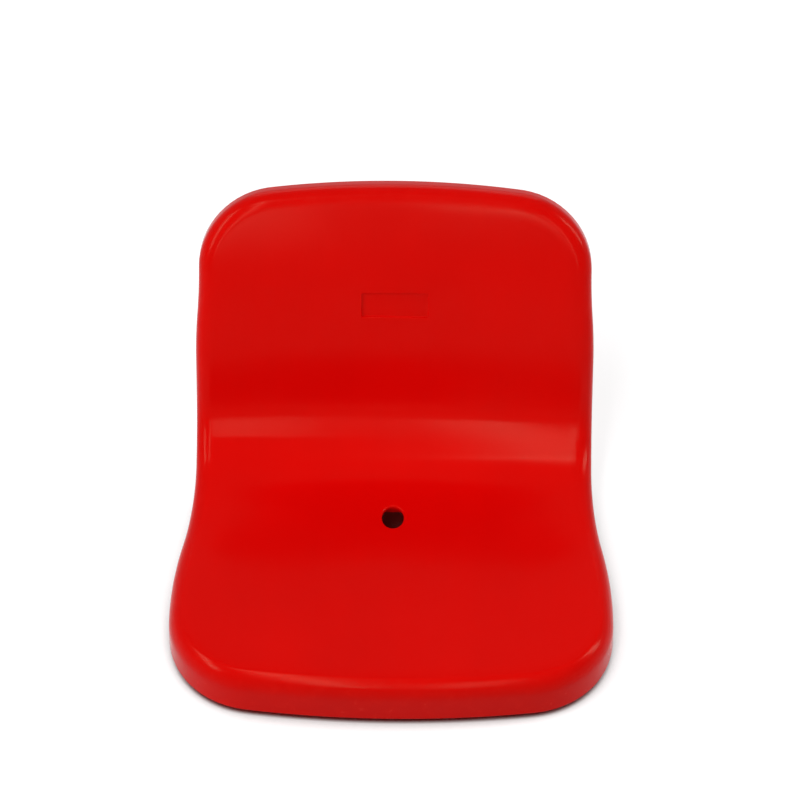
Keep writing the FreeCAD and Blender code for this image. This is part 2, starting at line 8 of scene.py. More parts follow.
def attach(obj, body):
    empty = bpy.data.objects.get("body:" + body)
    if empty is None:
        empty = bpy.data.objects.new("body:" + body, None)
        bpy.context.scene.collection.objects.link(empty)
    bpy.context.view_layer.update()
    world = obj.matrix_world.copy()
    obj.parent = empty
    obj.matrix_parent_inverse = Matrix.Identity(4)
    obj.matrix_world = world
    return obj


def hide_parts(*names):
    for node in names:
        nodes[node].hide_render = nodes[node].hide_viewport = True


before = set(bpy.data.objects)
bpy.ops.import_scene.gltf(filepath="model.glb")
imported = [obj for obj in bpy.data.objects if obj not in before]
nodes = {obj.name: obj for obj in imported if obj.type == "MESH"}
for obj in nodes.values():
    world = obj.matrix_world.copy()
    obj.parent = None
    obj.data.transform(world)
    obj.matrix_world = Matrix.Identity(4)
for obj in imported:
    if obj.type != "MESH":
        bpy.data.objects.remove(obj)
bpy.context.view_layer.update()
print("frame loaded:", len(nodes), "nodes")

millimetre = 0.001


# Shell: the same centre line and outline as the solid, in millimetres

shell = {
    "seatWidth": 430.0,
    "waistWidth": 390.0,
    "backWidth": 382.0,
    "panRun": 229.0,  # pan, bend and back follow each other along the centre line
    "bendRun": 146.0,
    "backRun": 204.0,
    "panFall": 2.2,  # degrees, as are the lean and the curl
    "backLean": 16.0,
    "backCurl": 11.0,
    "curlLead": 20.0,  # the curl begins this far before the bend ends
    "frontBow": 22.0,
    "topCrown": 14.5,
    "frontCorner": 88.0,
    "topCorner": 77.0,
    "backHollow": 14.7,  # the back's sides stand forward by this, at hollowHalf from the middle
    "hollowHalf": 200.0,
    "hollowLead": 60.0,
    "waistLead": 60.0,  # the waist lies this far before the bend ends
    "seatSettle": 28.0,  # straight sides next to the waist
    "backSettle": 80.0,
    "seatReach": 170.0,  # front edge, ahead of the deck bolts' middle
    "panHeight": 55.0,
    "wall": 4.0,
    "frontRoll": 13.0,
    "backRoll": 16.0,
    "frontLip": 48.0,
    "backLip": 26.0,
    "lipRun": 220.0,  # over which the front's rim sizes pass into the back's
    "frontStretch": 1.7,  # the front roll is taller than it is deep
    "backStretch": 1.0,
    "lipEdge": 0.9,  # rounding of the moulded lower edge
}
pathLength = shell["panRun"] + shell["bendRun"] + shell["backRun"]
split = shell["panRun"] + shell["bendRun"] - shell["waistLead"]
widthRounds = 2  # rounds in which a width, and a place near the top, settle on the curved surface
placeRounds = 6
endSteps = 60  # points along an end's bow, and round its corner


def ease(part):  # from 0 to 1, level at both ends
    part = np.clip(part, 0.0, 1.0)
    return part ** 3 * (10 - 15 * part + 6 * part * part)


def slope(place):  # in radians, at a place along the centre line
    turn = 90 - shell["backLean"] + shell["panFall"]
    curlStart = shell["panRun"] + shell["bendRun"] - shell["curlLead"]
    angle = -shell["panFall"] + turn * ease((place - shell["panRun"]) / shell["bendRun"])
    angle = angle - shell["backCurl"] * ease((place - curlStart) / (pathLength - curlStart))
    return np.radians(angle)


lineMargin = 60.0
lineStep = 0.25
lineAt = np.arange(-lineMargin, pathLength + lineMargin, lineStep)
lineY = np.concatenate([[0.0], np.cumsum(np.cos(slope(lineAt + lineStep / 2)) * lineStep)])[:-1]
lineZ = np.concatenate([[0.0], np.cumsum(np.sin(slope(lineAt + lineStep / 2)) * lineStep)])[:-1]
lineY += -shell["seatReach"] - np.interp(0.0, lineAt, lineY)
lineZ += shell["panHeight"] - np.interp(0.0, lineAt, lineZ)


def hollowAt(place, x):
    grown = ease((place - shell["panRun"] + shell["hollowLead"]) / shell["bendRun"])
    return shell["backHollow"] * grown * (x / shell["hollowHalf"]) ** 2


def alongAt(place):  # the surface's direction towards the top
    return np.array([0.0, math.cos(slope(place)), math.sin(slope(place))])


def outAt(place):  # the surface's direction towards the sitter
    return np.array([0.0, -math.sin(slope(place)), math.cos(slope(place))])


def surfacePoint(place, x, level):  # level is the height over the sitter's side of the wall
    place, x, level = np.broadcast_arrays(*[np.asarray(v, float) for v in (place, x, level)])
    lift = level + hollowAt(place, x)
    y = np.interp(place, lineAt, lineY) - np.sin(slope(place)) * lift
    z = np.interp(place, lineAt, lineZ) + np.cos(slope(place)) * lift
    return np.stack([x, y, z], axis=-1)


def rimValue(front, back, place):
    return front + (back - front) * ease(np.asarray(place, float) / shell["lipRun"])


def outlineParts(width, bow, corner, reach, settle):
    half = width / 2
    narrow = shell["waistWidth"] / 2
    bowRadius = half * half / (2 * bow)
    cornerX = half - corner
    cornerY = bowRadius - math.sqrt((bowRadius - corner) ** 2 - cornerX ** 2)
    meet = math.atan2(cornerY - bowRadius, cornerX)
    run = reach - settle - cornerY
    shift = half - narrow
    return {
        "half": half, "narrow": narrow, "bowRadius": bowRadius, "corner": corner,
        "cornerX": cornerX, "cornerY": cornerY, "meet": meet, "waistAt": reach - settle,
        "run": run, "shift": shift, "sideRadius": (run * run + shift * shift) / (4 * abs(shift)),
    }


seatAxis = alongAt(0.0)
backAxis = alongAt(pathLength)
seatStart = surfacePoint(0.0, 0.0, 0.0)
backEnd = surfacePoint(pathLength, 0.0, 0.0)
splitPoint = surfacePoint(split, 0.0, 0.0)
seatOutline = outlineParts(shell["seatWidth"], shell["frontBow"], shell["frontCorner"],
                           float((splitPoint - seatStart) @ seatAxis), shell["seatSettle"])
backOutline = outlineParts(shell["backWidth"], shell["topCrown"], shell["topCorner"],
                           float((backEnd - splitPoint) @ backAxis), shell["backSettle"])


def sideHalf(outline, reach):  # half width along the side, past the corner
    radius = outline["sideRadius"]
    sign = 1.0 if outline["shift"] > 0 else -1.0
    near = np.clip(reach - outline["cornerY"], 0, outline["run"] / 2)
    late = np.clip(outline["waistAt"] - reach, 0, outline["run"] / 2)
    first = outline["half"] - sign * (radius - np.sqrt(radius ** 2 - near ** 2))
    second = outline["narrow"] + sign * (radius - np.sqrt(radius ** 2 - late ** 2))
    return np.where(reach < outline["cornerY"] + outline["run"] / 2, first, second)


def halfWidth(place, level):
    place = np.asarray(place, float)
    half = np.full(place.shape, shell["waistWidth"] / 2)
    for _ in range(widthRounds):
        point = surfacePoint(place, half, level)
        seatHalf = sideHalf(seatOutline, (point - seatStart) @ seatAxis)
        backHalf = sideHalf(backOutline, (backEnd - point) @ backAxis)
        half = np.where(place <= split, seatHalf, backHalf)
    return half


def endPath(outline):  # right half of a bowed end: points, outward angles and running length
    angles = np.linspace(-math.pi / 2, outline["meet"], endSteps)
    bowX = outline["bowRadius"] * np.cos(angles)
    bowY = outline["bowRadius"] * (1 + np.sin(angles))
    turns = np.linspace(outline["meet"], 0.0, endSteps)[1:]
    cornerX = outline["cornerX"] + outline["corner"] * np.cos(turns)
    cornerY = outline["cornerY"] + outline["corner"] * np.sin(turns)
    allAngles = np.concatenate([angles, turns])
    x = np.concatenate([bowX, cornerX])
    y = np.concatenate([bowY, cornerY])
    run = np.concatenate([[0.0], np.cumsum(np.hypot(np.diff(x), np.diff(y)))])
    return {"x": x, "y": y, "angle": allAngles, "run": run}


grid = {
    "halfWidth": 126.0,  # middle grid, around which the rings run
    "front": 84.0,
    "back": 512.0,
    "acrossStep": 5.5,
    "alongStep": 4.5,
    "cornerShare": 0.5,  # its corners point at the middle of the outline's round corners
    "rollSteps": 12,
    "ringsOut": 14,
    "ringInset": 24.0,
    "windowSlack": 0.01,  # keeps a window's border in the grid
}

drain = {
    "place": 217.0,
    "width": 21.5,
    "length": 28.5,
    "edge": 1.7,
    "lowerEdge": 0.6,
    "edgeSteps": 5,
    "lowerSteps": 3,
    "collar": 0.7,  # plain band around a rounded edge
    "lowerCollar": 0.8,
    "shares": (0.3, 0.6, 0.85),  # rings between the window and the collar
    "lowerShares": (0.7, 0.35),
    "wear": 0.6,
    "windowHalf": 22.0,
    "windowRun": 26.0,
}

recess = {
    "place": 457.0,
    "width": 65.0,
    "height": 26.0,
    "depth": 2.0,
    "corner": 1.4,
    "edge": 0.45,
    "floorEdge": 0.5,
    "cornerSteps": 4,
    "edgeSteps": 3,
    "collar": 1.0,
    "floorCollar": 0.6,
    "shares": (0.4, 0.75, 1.0),
    "wear": 0.7,
    "windowHalf": 44.0,
    "windowRun": 24.0,
}


def gridLines(marks, step):
    lines = [marks[0]]
    for start, stop in zip(marks[:-1], marks[1:]):
        count = max(1, round((stop - start) / step))
        lines += [start + (stop - start) * i / count for i in range(1, count + 1)]
    return np.array(lines)


acrossLines = gridLines(
    [-grid["halfWidth"], -recess["windowHalf"], -drain["windowHalf"], 0.0,
     drain["windowHalf"], recess["windowHalf"], grid["halfWidth"]], grid["acrossStep"])
alongLines = gridLines(
    [grid["front"], drain["place"] - drain["windowRun"], drain["place"],
     drain["place"] + drain["windowRun"], recess["place"] - recess["windowRun"],
     recess["place"], recess["place"] + recess["windowRun"], grid["back"]], grid["alongStep"])

frontEnd = endPath(seatOutline)
topEnd = endPath(backOutline)


def cornerRun(path):
    start = path["run"][endSteps - 1]
    return start + (path["run"][-1] - start) * grid["cornerShare"]


def rimStations():  # the rim as (kind, x sign, value), in step with the middle grid's border
    stations = []
    frontRun = cornerRun(frontEnd)
    topRun = cornerRun(topEnd)
    frontLeft = frontEnd["run"][-1] - frontRun
    topLeft = topEnd["run"][-1] - topRun
    topCornerPlace = pathLength - backOutline["cornerY"]
    sideRun = topCornerPlace - seatOutline["cornerY"]
    wholeRun = frontLeft + sideRun + topLeft
    for x in acrossLines[:-1]:
        stations.append(("front", np.sign(x), abs(x) / grid["halfWidth"] * frontRun))
    upShare = (alongLines - alongLines[0]) / (alongLines[-1] - alongLines[0])
    sideWays = []
    for share in upShare:
        far = share * wholeRun
        if far <= frontLeft:
            sideWays.append(("front", frontRun + far))
        elif far >= frontLeft + sideRun:
            sideWays.append(("top", topEnd["run"][-1] - (far - frontLeft - sideRun)))
        else:
            sideWays.append(("side", seatOutline["cornerY"] + far - frontLeft))
    stations += [(kind, 1.0, value) for kind, value in sideWays[:-1]]
    for x in acrossLines[::-1][:-1]:
        stations.append(("top", np.sign(x), abs(x) / grid["halfWidth"] * topRun))
    stations += [(kind, -1.0, value) for kind, value in sideWays[::-1][:-1]]
    return stations


stations = rimStations()
stationKind = np.array([kind for kind, _, _ in stations])
stationSide = np.array([side for _, side, _ in stations])
stationValue = np.array([value for _, _, value in stations])
onFront = stationKind == "front"
onTop = stationKind == "top"
onSide = stationKind == "side"


def rimSpots(inset, level):  # (x, place) of every station, drawn in by inset, at a level
    count = len(stations)
    inset = np.broadcast_to(np.asarray(inset, float), count)
    level = np.broadcast_to(np.asarray(level, float), count)
    x = np.zeros(count)
    place = np.zeros(count)
    for chosen, path in ((onFront, frontEnd), (onTop, topEnd)):
        run = stationValue[chosen]
        angle = np.interp(run, path["run"], path["angle"])
        x[chosen] = np.interp(run, path["run"], path["x"]) - inset[chosen] * np.cos(angle)
        place[chosen] = np.interp(run, path["run"], path["y"]) - inset[chosen] * np.sin(angle)
    x *= stationSide
    target = place[onTop].copy()
    guess = pathLength - target
    for _ in range(placeRounds):
        point = surfacePoint(guess, x[onTop], level[onTop])
        guess = guess + (backEnd - point) @ backAxis - target
    place[onTop] = guess
    place[onSide] = stationValue[onSide]
    x[onSide] = stationSide[onSide] * (halfWidth(place[onSide], level[onSide]) - inset[onSide])
    return x, place


verts = []
faces = []
wearMarks = []


def addPoints(points, wear=0.0):
    first = sum(len(block) for block in verts)
    points = np.asarray(points, float)
    verts.append(points)
    wearMarks.append(np.broadcast_to(np.asarray(wear, float), len(points)))
    return list(range(first, first + len(points)))


def bridge(first, second, turned=False):
    count = len(first)
    for i in range(count):
        j = (i + 1) % count
        quad = (first[i], first[j], second[j], second[i])
        faces.append(quad[::-1] if turned else quad)


def insideWindow(x, place, piece):
    across = abs(x) < piece["windowHalf"] - grid["windowSlack"]
    return across and abs(place - piece["place"]) < piece["windowRun"] - grid["windowSlack"]


def middleGrid(level, windows, turned):
    ids = {}
    keys = []
    for i, x in enumerate(acrossLines):
        for j, place in enumerate(alongLines):
            if not any(insideWindow(x, place, piece) for piece in windows):
                keys.append((i, j))
    spots = np.array([(acrossLines[i], alongLines[j]) for i, j in keys])
    for key, number in zip(keys, addPoints(surfacePoint(spots[:, 1], spots[:, 0], level))):
        ids[key] = number
    for i in range(len(acrossLines) - 1):
        for j in range(len(alongLines) - 1):
            middleX = (acrossLines[i] + acrossLines[i + 1]) / 2
            middlePlace = (alongLines[j] + alongLines[j + 1]) / 2
            if any(insideWindow(middleX, middlePlace, piece) for piece in windows):
                continue
            quad = (ids[i, j], ids[i + 1, j], ids[i + 1, j + 1], ids[i, j + 1])
            faces.append(quad[::-1] if turned else quad)
    return ids


def loopAround(ids, firstI, lastI, firstJ, lastJ):  # round a rectangle of the grid, anticlockwise
    keys = [(i, firstJ) for i in range(firstI, lastI)]
    keys += [(lastI, j) for j in range(firstJ, lastJ)]
    keys += [(i, lastJ) for i in range(lastI, firstI, -1)]
    keys += [(firstI, j) for j in range(lastJ, firstJ, -1)]
    return [ids[key] for key in keys], keys


def windowLoop(ids, piece):
    firstI = int(np.argmin(abs(acrossLines + piece["windowHalf"])))
    lastI = int(np.argmin(abs(acrossLines - piece["windowHalf"])))
    firstJ = int(np.argmin(abs(alongLines - piece["place"] + piece["windowRun"])))
    lastJ = int(np.argmin(abs(alongLines - piece["place"] - piece["windowRun"])))
    loop, keys = loopAround(ids, firstI, lastI, firstJ, lastJ)
    spots = np.array([(acrossLines[i], alongLines[j]) for i, j in keys])
    sides = (lastI - firstI, lastJ - firstJ)
    return loop, spots, sides


def sideShares(sides):  # for each window vertex: which side it is on, and how far along
    across, along = sides
    shares = []
    for side, count in enumerate((across, along, across, along)):
        shares += [(side, i / count) for i in range(count)]
    return shares


def ovalCurve(sides, piece):  # one quarter of the oval for each side of the window
    points = []
    normals = []
    for side, share in sideShares(sides):
        angle = math.radians(-135 + 90 * (side + share))
        a = piece["width"] / 2
        b = piece["length"] / 2
        points.append((a * math.cos(angle), b * math.sin(angle)))
        normal = np.array([math.cos(angle) / a, math.sin(angle) / b])
        normals.append(normal / np.linalg.norm(normal))
    return np.array(points), np.array(normals)


def boxCurve(sides, piece):  # rectangle with small round corners
    radius = piece["corner"]
    halfX = piece["width"] / 2 - radius
    halfY = piece["height"] / 2 - radius
    cornerSteps = piece["cornerSteps"]
    halfCorner = math.radians(45)
    corners = [(-halfX, -halfY), (halfX, -halfY), (halfX, halfY), (-halfX, halfY)]
    counts = (sides[0], sides[1], sides[0], sides[1])
    points = []
    normals = []
    for side in range(4):
        start, stop = np.array(corners[side]), np.array(corners[(side + 1) % 4])
        facing = math.radians(-90 + 90 * side)
        count = counts[side]
        for i in range(count):
            if i < cornerSteps:
                angle = facing - halfCorner * (1 - i / cornerSteps)
                centre = start
            elif i > count - cornerSteps:
                angle = facing + halfCorner * (1 - (count - i) / cornerSteps)
                centre = stop
            else:
                angle = facing
                centre = start + (stop - start) * (i - cornerSteps) / (count - 2 * cornerSteps)
            normal = np.array([math.cos(angle), math.sin(angle)])
            points.append(centre + radius * normal)
            normals.append(normal)
    return np.array(points), np.array(normals)


def towards(spots, target, share):
    return spots * (1 - share) + target * share


def quarterTurn(step, steps):
    return math.pi / 2 * step / steps


# Top, rolled rim, lip and underside, as one closed skin of rings

rim = {
    "lipShares": (0.3, 0.6, 0.85),  # rings down the lip, and up behind it
    "insideShares": (0.25, 0.6),
    "edgeSteps": 3,
    "edgeMargin": 1.6,  # last ring before the lower edge, in roundings of that edge
    "wearRoll": 0.5,  # how rubbed the plastic is, from 0 to 1
    "wearLip": 0.6,
    "wearNearEdge": 0.8,
    "wearEdge": 1.0,
    "wearBehindEdge": 0.6,
    "wearInside": 0.2,
}

topIds = middleGrid(0.0, [drain, recess], False)
lowIds = middleGrid(-shell["wall"], [drain], True)
lastAcross = len(acrossLines) - 1
lastAlong = len(alongLines) - 1
topBorder, borderKeys = loopAround(topIds, 0, lastAcross, 0, lastAlong)
lowBorder, _ = loopAround(lowIds, 0, lastAcross, 0, lastAlong)
borderSpots = np.array([(acrossLines[i], alongLines[j]) for i, j in borderKeys])


def spotsToPoints(spots, level):
    return surfacePoint(spots[:, 1], spots[:, 0], level)


ringStart = np.stack(rimSpots(grid["ringInset"], 0.0), axis=1)
sideNow = ringStart[:, 1]
roll = rimValue(shell["frontRoll"], shell["backRoll"], sideNow)
lip = rimValue(shell["frontLip"], shell["backLip"], sideNow)
tall = roll * rimValue(shell["frontStretch"], shell["backStretch"], sideNow)
wall = shell["wall"]

rings = [topBorder]
for step in range(1, grid["ringsOut"]):
    share = step / grid["ringsOut"]
    rings.append(addPoints(spotsToPoints(towards(borderSpots, ringStart, share), 0.0)))


def rimRing(inset, level, wear=0.0):
    x, place = rimSpots(inset, level)
    return addPoints(surfacePoint(place, x, level), wear)


rings.append(rimRing(grid["ringInset"], 0.0))
for step in range(grid["rollSteps"] + 1):
    angle = quarterTurn(step, grid["rollSteps"])
    inset = roll * (1 - math.sin(angle))
    rings.append(rimRing(inset, -tall * (1 - math.cos(angle)), math.sin(angle) * rim["wearRoll"]))
edge = shell["lipEdge"]
nearEdge = -lip + edge * rim["edgeMargin"]
for share in rim["lipShares"]:
    rings.append(rimRing(0.0, -tall - (lip - edge - tall) * share, rim["wearLip"]))
rings.append(rimRing(0.0, nearEdge, rim["wearNearEdge"]))
for step in range(rim["edgeSteps"] + 1):
    angle = quarterTurn(step, rim["edgeSteps"])
    level = -lip + edge * (1 - math.sin(angle))
    rings.append(rimRing(edge * (1 - math.cos(angle)), level, rim["wearEdge"]))
for step in range(rim["edgeSteps"] + 1):
    angle = quarterTurn(step, rim["edgeSteps"])
    level = -lip + edge * (1 - math.cos(angle))
    rings.append(rimRing(wall - edge * (1 - math.sin(angle)), level, rim["wearEdge"]))
rings.append(rimRing(wall, nearEdge, rim["wearBehindEdge"]))
for share in rim["insideShares"]:
    rings.append(rimRing(wall, -lip + (lip - tall) * share, rim["wearInside"]))
for step in range(grid["rollSteps"] + 1):
    angle = math.pi / 2 * (1 - step / grid["rollSteps"])
    across = (roll - wall) * math.sin(angle)
    rings.append(rimRing(roll - across, -tall + (tall - wall) * math.cos(angle)))
rings.append(rimRing(grid["ringInset"], -wall))
for step in range(grid["ringsOut"] - 1, 0, -1):
    share = step / grid["ringsOut"]
    rings.append(addPoints(spotsToPoints(towards(borderSpots, ringStart, share), -wall)))
rings.append(lowBorder)
for first, second in zip(rings[:-1], rings[1:]):
    bridge(first, second, True)

# Drain hole through both sides

topLoop, loopSpots, sides = windowLoop(topIds, drain)
lowLoop, _, _ = windowLoop(lowIds, drain)
ovalPoints, ovalNormals = ovalCurve(sides, drain)


def drainSpots(offset):  # the oval, widened by an offset
    return ovalPoints + ovalNormals * offset + np.array([0.0, drain["place"]])


def drainRing(offset, level, wear=0.0):
    return addPoints(spotsToPoints(drainSpots(offset), level), wear)


def drainSpread(offset, share, level):  # between the window and the oval
    return addPoints(spotsToPoints(towards(loopSpots, drainSpots(offset), share), level))


upperEdge, lowerEdge = drain["edge"], drain["lowerEdge"]
upperCollar, lowerCollar = upperEdge + drain["collar"], lowerEdge + drain["lowerCollar"]
holeRings = [topLoop]
holeRings += [drainSpread(upperCollar, share, 0.0) for share in drain["shares"]]
holeRings.append(drainRing(upperCollar, 0.0))
for step in range(drain["edgeSteps"] + 1):
    angle = quarterTurn(step, drain["edgeSteps"])
    offset = upperEdge * (1 - math.sin(angle))
    holeRings.append(drainRing(offset, -upperEdge * (1 - math.cos(angle)), drain["wear"]))
holeRings.append(drainRing(0.0, -wall + lowerEdge))
for step in range(1, drain["lowerSteps"] + 1):
    angle = quarterTurn(step, drain["lowerSteps"])
    offset = lowerEdge * (1 - math.cos(angle))
    holeRings.append(drainRing(offset, -wall + lowerEdge * (1 - math.sin(angle))))
holeRings.append(drainRing(lowerCollar, -wall))
holeRings += [drainSpread(lowerCollar, share, -wall) for share in drain["lowerShares"]]
holeRings.append(lowLoop)
for first, second in zip(holeRings[:-1], holeRings[1:]):
    bridge(first, second)

# Number recess with a flat floor

recessLoop, recessSpots, recessSides = windowLoop(topIds, recess)
boxPoints, boxNormals = boxCurve(recessSides, recess)
recessCentre = surfacePoint(recess["place"], 0.0, 0.0)
recessAlong = alongAt(recess["place"])
recessOut = outAt(recess["place"])
acrossX = np.array([1.0, 0.0, 0.0])


def recessSide(offset):  # the box, widened by an offset, on the curved surface
    return boxPoints + boxNormals * offset + np.array([0.0, recess["place"]])


def recessRing(offset, height, wear=0.0):  # the box on a flat plane, at a height
    flat = boxPoints + boxNormals * offset
    points = recessCentre + np.outer(flat[:, 0], acrossX) + np.outer(flat[:, 1], recessAlong)
    return addPoints(points + np.outer(height, recessOut), wear)


recessFloor, floorEdge = -recess["depth"], recess["floorEdge"]
surfaceHeight = (spotsToPoints(recessSide(0.0), 0.0) - recessCentre) @ recessOut
collarSpots = recessSide(recess["edge"] + recess["collar"])
recessRings = [recessLoop]
for share in recess["shares"]:
    recessRings.append(addPoints(spotsToPoints(towards(recessSpots, collarSpots, share), 0.0)))
for step in range(recess["edgeSteps"] + 1):
    angle = quarterTurn(step, recess["edgeSteps"])
    offset = recess["edge"] * (1 - math.sin(angle))
    drop = recess["edge"] * (1 - math.cos(angle))
    recessRings.append(recessRing(offset, surfaceHeight - drop, recess["wear"]))
recessRings.append(recessRing(0.0, recessFloor + floorEdge))
for step in range(1, recess["edgeSteps"] + 1):
    angle = quarterTurn(step, recess["edgeSteps"])
    lift = floorEdge * (1 - math.sin(angle))
    recessRings.append(recessRing(-floorEdge * (1 - math.cos(angle)), recessFloor + lift))
recessRings.append(recessRing(-floorEdge - recess["floorCollar"], recessFloor))
for first, second in zip(recessRings[:-1], recessRings[1:]):
    bridge(first, second)
faces.append(tuple(recessRings[-1]))
print("shell skin:", sum(len(block) for block in verts), "points,", len(faces), "faces")


# Under the shell: ribs, bosses and the thickened wall behind the recess

under = {
    "ribThick": 2.5,
    "tipThick": 2.1,
    "crossDrop": 5.5,
    "longDrop": 7.0,
    "ribPitch": 60.0,
    "ribSpread": 80.0,
    "crossRoot": 1.6,
    "longRoot": 2.4,
    "tipEdge": 0.5,
    "tipMiddle": 0.15,  # middle point of the tip's rounding
    "crossPoints": 41,
    "longPoints": 121,
    "bossSpread": 240.0,
    "bossPitch": 130.0,
    "bossRound": 26.0,
    "bossEdge": 0.8,
    "bossMiddle": 0.25,  # middle point of the boss's rounding
    "bossTop": 3.0,
    "barHeight": 22.0,
    "boreRound": 12.2,
    "boreDeep": 13.1,
    "boreEdge": 0.4,
    "postPoints": 40,
    "backingBorder": 4.0,
    "backingRoot": 1.0,  # how far below the recess's floor the block begins
    "backingEdge": 0.5,
}


def ribStrip(points, sideways, down, root, drop):  # a plate that hangs from the wall along a line
    thick, tip = under["ribThick"] / 2, under["tipThick"] / 2
    edge, middle = under["tipEdge"], under["tipMiddle"]
    profile = [(-thick, -root), (-tip, drop - edge), (-tip + middle, drop - middle),
               (-tip + edge, drop), (tip - edge, drop), (tip - middle, drop - middle),
               (tip, drop - edge), (thick, -root)]
    loops = []
    for point, side, below in zip(points, sideways, down):
        loops.append(addPoints([point + side * a + below * b for a, b in profile]))
    for first, second in zip(loops[:-1], loops[1:]):
        bridge(first, second)
    faces.append(tuple(loops[0][::-1]))
    faces.append(tuple(loops[-1]))


def insideHalf(place):  # half the width inside the rolled rim
    half = min(shell["seatWidth"], shell["waistWidth"], shell["backWidth"]) / 2
    ends = ((shell["seatWidth"], shell["frontCorner"], place - shell["frontBow"]),
            (shell["backWidth"], shell["topCorner"], pathLength - shell["topCrown"] - place))
    for width, corner, left in ends:
        if left < corner:
            chord = math.sqrt(max(0.0, corner ** 2 - (corner - left) ** 2))
            half = min(half, width / 2 - corner + chord)
    return half - shell["frontRoll"]


# A cross rib stands at the drain hole's rear edge, and the others follow from it
drainRib = drain["place"] + drain["length"] / 2 + under["ribThick"] / 2
ahead = int((drainRib - 2 * shell["frontRoll"]) / under["ribPitch"])
behind = int((pathLength - 2 * shell["frontRoll"] - drainRib) / under["ribPitch"])
for count in range(-ahead, behind + 1):
    place = drainRib + count * under["ribPitch"]
    half = insideHalf(place)
    points = surfacePoint(place, np.linspace(-half, half, under["crossPoints"]), -wall)
    ribStrip(points, [alongAt(place)] * len(points), [-outAt(place)] * len(points),
             wall - under["crossRoot"], under["crossDrop"])
places = np.linspace(shell["frontRoll"] + shell["frontBow"],
                     pathLength - shell["frontRoll"] - shell["topCrown"], under["longPoints"])
downwards = [-outAt(place) for place in places]
for x in (under["ribSpread"] / 2, under["bossSpread"] / 2):
    for side in (-1, 1):
        points = surfacePoint(places, side * x, -wall)
        ribStrip(points, [-acrossX] * len(points), downwards,
                 wall - under["longRoot"], under["longDrop"])


def turnedPost(centre, profile):  # closed solid of revolution about Z
    count = under["postPoints"]
    loops = []
    for radius, z in profile:
        angles = np.linspace(0, 2 * math.pi, count, endpoint=False)
        ring = np.stack([centre[0] + radius * np.cos(angles), centre[1] + radius * np.sin(angles),
                         np.full(count, z)], axis=1)
        loops.append(addPoints(ring))
    for first, second in zip(loops[:-1], loops[1:]):
        bridge(first, second)
    faces.append(tuple(loops[0][::-1]))
    faces.append(tuple(loops[-1]))


boss, bore = under["bossRound"] / 2, under["boreRound"] / 2
bossEdge, boreEdge, middle = under["bossEdge"], under["boreEdge"], under["bossMiddle"]
low = under["barHeight"]
for sideX in (-1, 1):
    for sideY in (-1, 1):
        spot = (sideX * under["bossSpread"] / 2, sideY * under["bossPitch"] / 2)
        top = float(np.interp(spot[1], lineY, lineZ)) - wall / 2
        turnedPost(spot, [(bore, low + under["boreDeep"]), (bore, low + boreEdge),
                          (bore + boreEdge, low), (boss - bossEdge, low),
                          (boss - middle, low + middle), (boss, low + bossEdge),
                          (boss, top - under["bossTop"]), (boss, top)])

halfX = recess["width"] / 2 + under["backingBorder"]
halfY = recess["height"] / 2 + under["backingBorder"]
blockSpots = [(-halfX, -halfY), (halfX, -halfY), (halfX, halfY), (-halfX, halfY)]
blockEnd, blockEdge = -wall - recess["depth"], under["backingEdge"]
blockLoops = []
for height, shrink in ((recessFloor - under["backingRoot"], 0.0), (blockEnd + blockEdge, 0.0),
                       (blockEnd, blockEdge)):
    loop = [recessCentre + acrossX * (x - math.copysign(shrink, x))
            + recessAlong * (y - math.copysign(shrink, y)) + recessOut * height
            for x, y in blockSpots]
    blockLoops.append(addPoints(loop))
faces.append(tuple(blockLoops[0]))
for first, second in zip(blockLoops[:-1], blockLoops[1:]):
    bridge(first, second, True)
faces.append(tuple(blockLoops[-1][::-1]))

shellCrease = 40  # degrees: steeper edges shade sharp
shellMesh = bpy.data.meshes.new("seatShell")
shellMesh.from_pydata((np.concatenate(verts) * millimetre).tolist(), [], faces)
shellMesh.shade_smooth()
shellMesh.set_sharp_from_angle(angle=math.radians(shellCrease))
wearLayer = shellMesh.attributes.new("wear", "FLOAT", "POINT")
wearLayer.data.foreach_set("value", np.concatenate(wearMarks).astype(np.float32))
seat = bpy.data.objects.new("moulded_shell", shellMesh)
bpy.context.scene.collection.objects.link(seat)
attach(seat, "root")
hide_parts("seat_shell")
print("shell built:", len(shellMesh.vertices), "points,", len(shellMesh.polygons), "faces")


# Finishes

def newMaterial(name):
    material = bpy.data.materials.new(name)
    material.use_nodes = True
    tree = material.node_tree
    return material, tree, tree.nodes["Principled BSDF"]


def addNode(tree, kind, **values):
    node = tree.nodes.new(kind)
    for key, value in values.items():
        if key in node.inputs:
            node.inputs[key].default_value = value
        else:
            setattr(node, key, value)
    return node


def joinValue(tree, socket, value):  # a number is set, an output is linked
    if isinstance(value, (int, float)):
        socket.default_value = value
    else:
        tree.links.new(value, socket)


def work(tree, operation, first, second=0.0):
    node = addNode(tree, "ShaderNodeMath", operation=operation)
    joinValue(tree, node.inputs[0], first)
    joinValue(tree, node.inputs[1], second)
    return node.outputs[0]


def total(tree, first, share, second, otherShare):  # two values, each by its share
    return work(tree, "ADD", work(tree, "MULTIPLY", first, share),
                work(tree, "MULTIPLY", second, otherShare))


def spread(tree, value, span, result=(0.0, 1.0)):  # a span of values, stretched over another
    node = addNode(tree, "ShaderNodeMapRange")
    joinValue(tree, node.inputs["Value"], value)
    node.inputs["From Min"].default_value, node.inputs["From Max"].default_value = span
    node.inputs["To Min"].default_value, node.inputs["To Max"].default_value = result
    return node.outputs["Result"]


def blend(tree, factor, first, second):
    node = addNode(tree, "ShaderNodeMix", data_type="RGBA")
    joinValue(tree, node.inputs["Factor"], factor)
    for socket, colour in ((node.inputs["A"], first), (node.inputs["B"], second)):
        if isinstance(colour, tuple):
            socket.default_value = colour
        else:
            tree.links.new(colour, socket)
    return node.outputs["Result"]


